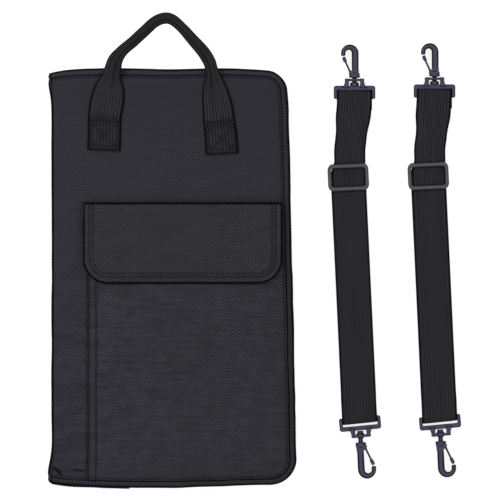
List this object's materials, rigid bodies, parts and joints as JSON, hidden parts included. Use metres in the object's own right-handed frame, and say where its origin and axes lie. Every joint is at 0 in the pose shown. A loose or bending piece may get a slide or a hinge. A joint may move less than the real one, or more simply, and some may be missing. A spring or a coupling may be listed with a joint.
{
  "type": "drum stick bag",
  "caption": "Padded drum stick bag that opens like a book, with zippered halves, flap pocket, stick sleeves, webbing handle, back rings and detachable adjustable straps with swivel hooks",
  "frame": {"origin": "centre of the bag's back face, on the surface that it lies on", "axes": "+X towards the zippered side and the straps, +Y towards the handle and the top edge, +Z out of the front face"},
  "size_m": [0.468, 0.5433, 0.0441],
  "materials": {
    "outer_cloth": "coarse plain-weave polyester, slightly shiny",
    "foam": "sealed padding, not seen",
    "lining": "smooth woven nylon lining",
    "inner_cloth": "woven polyester",
    "binding": "grosgrain edge binding",
    "zipper_tape": "woven zipper tape",
    "zipper_coil": "nylon coil",
    "zipper_metal": "black lacquered metal",
    "hook_and_loop": "hook-and-loop tape",
    "ring_plastic": "moulded acetal",
    "handle_webbing": "ribbed polypropylene webbing",
    "strap_webbing": "ribbed polypropylene webbing",
    "buckle_plastic": "moulded acetal, satin"
  },
  "bodies": {
    "back_half": {"back_panel": "outer_cloth", "back_foam": "foam", "back_lining": "lining", "back_gusset": "outer_cloth", "back_binding": "binding", "back_zipper_tape": "zipper_tape", "back_zipper_coil": "zipper_coil", "stick_sleeves": "inner_cloth", "sleeve_binding": "binding", "ring_tabs": "handle_webbing"},
    "spine": {"spine_panel": "outer_cloth", "spine_foam": "foam", "spine_lining": "lining"},
    "front_half": {"front_panel": "outer_cloth", "front_foam": "foam", "front_lining": "lining", "front_gusset": "outer_cloth", "front_binding": "binding", "front_zipper_tape": "zipper_tape", "front_zipper_coil": "zipper_coil", "accessory_pocket": "inner_cloth", "pocket_panel": "outer_cloth", "pocket_loop_strip": "hook_and_loop", "zipper_end_cover": "zipper_tape", "flap_root": "outer_cloth", "handle_ends": "handle_webbing"},
    "flap": {"pocket_flap": "outer_cloth", "flap_hook_strip": "hook_and_loop"},
    "handle": {"front_handle": "handle_webbing"},
    "upper_slider_body": {"upper_slider": "zipper_metal"},
    "upper_pull_body": {"upper_pull": "zipper_metal"},
    "lower_slider_body": {"lower_slider": "zipper_metal"},
    "lower_pull_body": {"lower_pull": "zipper_metal"},
    "top_left_ring_body": {"top_left_ring": "ring_plastic"},
    "top_right_ring_body": {"top_right_ring": "ring_plastic"},
    "bottom_left_ring_body": {"bottom_left_ring": "ring_plastic"},
    "bottom_right_ring_body": {"bottom_right_ring": "ring_plastic"},
    "first_strap_top_body": {"first_strap_upper_base": "buckle_plastic", "first_strap_webbing": "strap_webbing"},
    "first_strap_upper_hook_body": {"first_strap_upper_hook": "buckle_plastic"},
    "first_strap_upper_gate_body": {"first_strap_upper_gate": "buckle_plastic"},
    "first_strap_adjuster_body": {"first_strap_adjuster": "buckle_plastic", "first_strap_adjuster_loop": "strap_webbing"},
    "first_strap_bottom_body": {"first_strap_lower_base": "buckle_plastic", "first_strap_lower_turn": "strap_webbing", "first_strap_return_webbing": "strap_webbing"},
    "first_strap_lower_hook_body": {"first_strap_lower_hook": "buckle_plastic"},
    "first_strap_lower_gate_body": {"first_strap_lower_gate": "buckle_plastic"},
    "second_strap_top_body": {"second_strap_upper_base": "buckle_plastic", "second_strap_webbing": "strap_webbing"},
    "second_strap_upper_hook_body": {"second_strap_upper_hook": "buckle_plastic"},
    "second_strap_upper_gate_body": {"second_strap_upper_gate": "buckle_plastic"},
    "second_strap_adjuster_body": {"second_strap_adjuster": "buckle_plastic", "second_strap_adjuster_loop": "strap_webbing"},
    "second_strap_bottom_body": {"second_strap_lower_base": "buckle_plastic", "second_strap_lower_turn": "strap_webbing", "second_strap_return_webbing": "strap_webbing"},
    "second_strap_lower_hook_body": {"second_strap_lower_hook": "buckle_plastic"},
    "second_strap_lower_gate_body": {"second_strap_lower_gate": "buckle_plastic"}
  },
  "joints": [
    {"name": "spine_fold", "type": "hinge", "parent": "back_half", "child": "spine", "pos_m": [-0.138, 0, 0], "axis": [0, -1, 0], "range_deg": [0, 90]},
    {"name": "front_fold", "type": "hinge", "parent": "spine", "child": "front_half", "pos_m": [-0.138, 0, 0.034], "axis": [0, -1, 0], "range_deg": [0, 90]},
    {"name": "flap_lift", "type": "hinge", "parent": "front_half", "child": "flap", "pos_m": [0.01225, 0.086, 0.0441], "axis": [-1, 0, 0], "range_deg": [0, 150]},
    {"name": "handle_swing", "type": "hinge", "parent": "front_half", "child": "handle", "pos_m": [-0.01, 0.184, 0.0362], "axis": [1, 0, 0], "range_deg": [0, 100]},
    {"name": "upper_slider_run", "type": "slide", "parent": "back_half", "child": "upper_slider_body", "axis": [-0.0229, 0.9997, 0], "range_m": [0, 0.144]},
    {"name": "lower_slider_run", "type": "slide", "parent": "back_half", "child": "lower_slider_body", "axis": [0.0229, -0.9997, 0], "range_m": [0, 0.194]},
    {"name": "upper_pull_swing", "type": "hinge", "parent": "upper_slider_body", "child": "upper_pull_body", "pos_m": [0.1344, 0.04344, 0.017], "axis": [0, 0, -1], "range_deg": [0, 115]},
    {"name": "lower_pull_swing", "type": "hinge", "parent": "lower_slider_body", "child": "lower_pull_body", "pos_m": [0.13498, 0.01844, 0.017], "axis": [0, 0, 1], "range_deg": [0, 115]},
    {"name": "top_left_ring_swing", "type": "hinge", "parent": "back_half", "child": "top_left_ring_body", "pos_m": [-0.078, 0.221, 0.00205], "axis": [1, 0, 0], "range_deg": [0, 140]},
    {"name": "top_right_ring_swing", "type": "hinge", "parent": "back_half", "child": "top_right_ring_body", "pos_m": [0.074, 0.221, 0.00205], "axis": [1, 0, 0], "range_deg": [0, 140]},
    {"name": "bottom_left_ring_swing", "type": "hinge", "parent": "back_half", "child": "bottom_left_ring_body", "pos_m": [-0.078, -0.221, 0.00205], "axis": [-1, 0, 0], "range_deg": [0, 140]},
    {"name": "bottom_right_ring_swing", "type": "hinge", "parent": "back_half", "child": "bottom_right_ring_body", "pos_m": [0.074, -0.221, 0.00205], "axis": [-1, 0, 0], "range_deg": [0, 140]},
    {"name": "first_strap_lift", "type": "slide", "parent": "back_half", "child": "first_strap_top_body", "axis": [0, 0, 1], "range_m": [0, 0.3]},
    {"name": "first_strap_upper_swivel", "type": "hinge", "parent": "first_strap_top_body", "child": "first_strap_upper_hook_body", "pos_m": [0.2085, 0.2253, 0.0046], "axis": [0, 1, 0], "continuous": true},
    {"name": "first_strap_upper_gate_swing", "type": "hinge", "parent": "first_strap_upper_hook_body", "child": "first_strap_upper_gate_body", "pos_m": [0.204, 0.2333, 0.0046], "axis": [0, 0, -1], "range_deg": [0, 20], "stiffness_Nm_per_rad": 0.02, "springref_deg": -11.46},
    {"name": "first_strap_length", "type": "slide", "parent": "first_strap_top_body", "child": "first_strap_bottom_body", "axis": [0.0471, -0.9989, 0], "range_m": [-0.01, 0.2], "deforming": ["first_strap_webbing", "first_strap_return_webbing"]},
    {"name": "first_strap_adjust", "type": "slide", "parent": "first_strap_bottom_body", "child": "first_strap_adjuster_body", "axis": [0.0471, -0.9989, 0], "range_m": [-0.01, 0.2], "deforming": ["first_strap_webbing", "first_strap_return_webbing"]},
    {"name": "first_strap_lower_swivel", "type": "hinge", "parent": "first_strap_bottom_body", "child": "first_strap_lower_hook_body", "pos_m": [0.21556, -0.18736, 0.0046], "axis": [0.0471, -0.9989, 0], "continuous": true},
    {"name": "first_strap_lower_gate_swing", "type": "hinge", "parent": "first_strap_lower_hook_body", "child": "first_strap_lower_gate_body", "pos_m": [0.22043, -0.19514, 0.0046], "axis": [0, 0, -1], "range_deg": [0, 20], "stiffness_Nm_per_rad": 0.02, "springref_deg": -11.46},
    {"name": "second_strap_lift", "type": "slide", "parent": "back_half", "child": "second_strap_top_body", "axis": [0, 0, 1], "range_m": [0, 0.3]},
    {"name": "second_strap_upper_swivel", "type": "hinge", "parent": "second_strap_top_body", "child": "second_strap_upper_hook_body", "pos_m": [0.3, 0.2268, 0.0046], "axis": [0, 1, 0], "continuous": true},
    {"name": "second_strap_upper_gate_swing", "type": "hinge", "parent": "second_strap_upper_hook_body", "child": "second_strap_upper_gate_body", "pos_m": [0.2955, 0.2348, 0.0046], "axis": [0, 0, -1], "range_deg": [0, 20], "stiffness_Nm_per_rad": 0.02, "springref_deg": -11.46},
    {"name": "second_strap_length", "type": "slide", "parent": "second_strap_top_body", "child": "second_strap_bottom_body", "axis": [0.0471, -0.9989, 0], "range_m": [-0.01, 0.2], "deforming": ["second_strap_webbing", "second_strap_return_webbing"]},
    {"name": "second_strap_adjust", "type": "slide", "parent": "second_strap_bottom_body", "child": "second_strap_adjuster_body", "axis": [0.0471, -0.9989, 0], "range_m": [-0.01, 0.2], "deforming": ["second_strap_webbing", "second_strap_return_webbing"]},
    {"name": "second_strap_lower_swivel", "type": "hinge", "parent": "second_strap_bottom_body", "child": "second_strap_lower_hook_body", "pos_m": [0.30706, -0.18586, 0.0046], "axis": [0.0471, -0.9989, 0], "continuous": true},
    {"name": "second_strap_lower_gate_swing", "type": "hinge", "parent": "second_strap_lower_hook_body", "child": "second_strap_lower_gate_body", "pos_m": [0.31193, -0.19364, 0.0046], "axis": [0, 0, -1], "range_deg": [0, 20], "stiffness_Nm_per_rad": 0.02, "springref_deg": -11.46}
  ],
  "couplings": [
    {"joint": "first_strap_adjust", "follows": "first_strap_length", "ratio": 1},
    {"joint": "second_strap_adjust", "follows": "second_strap_length", "ratio": 1}
  ]
}
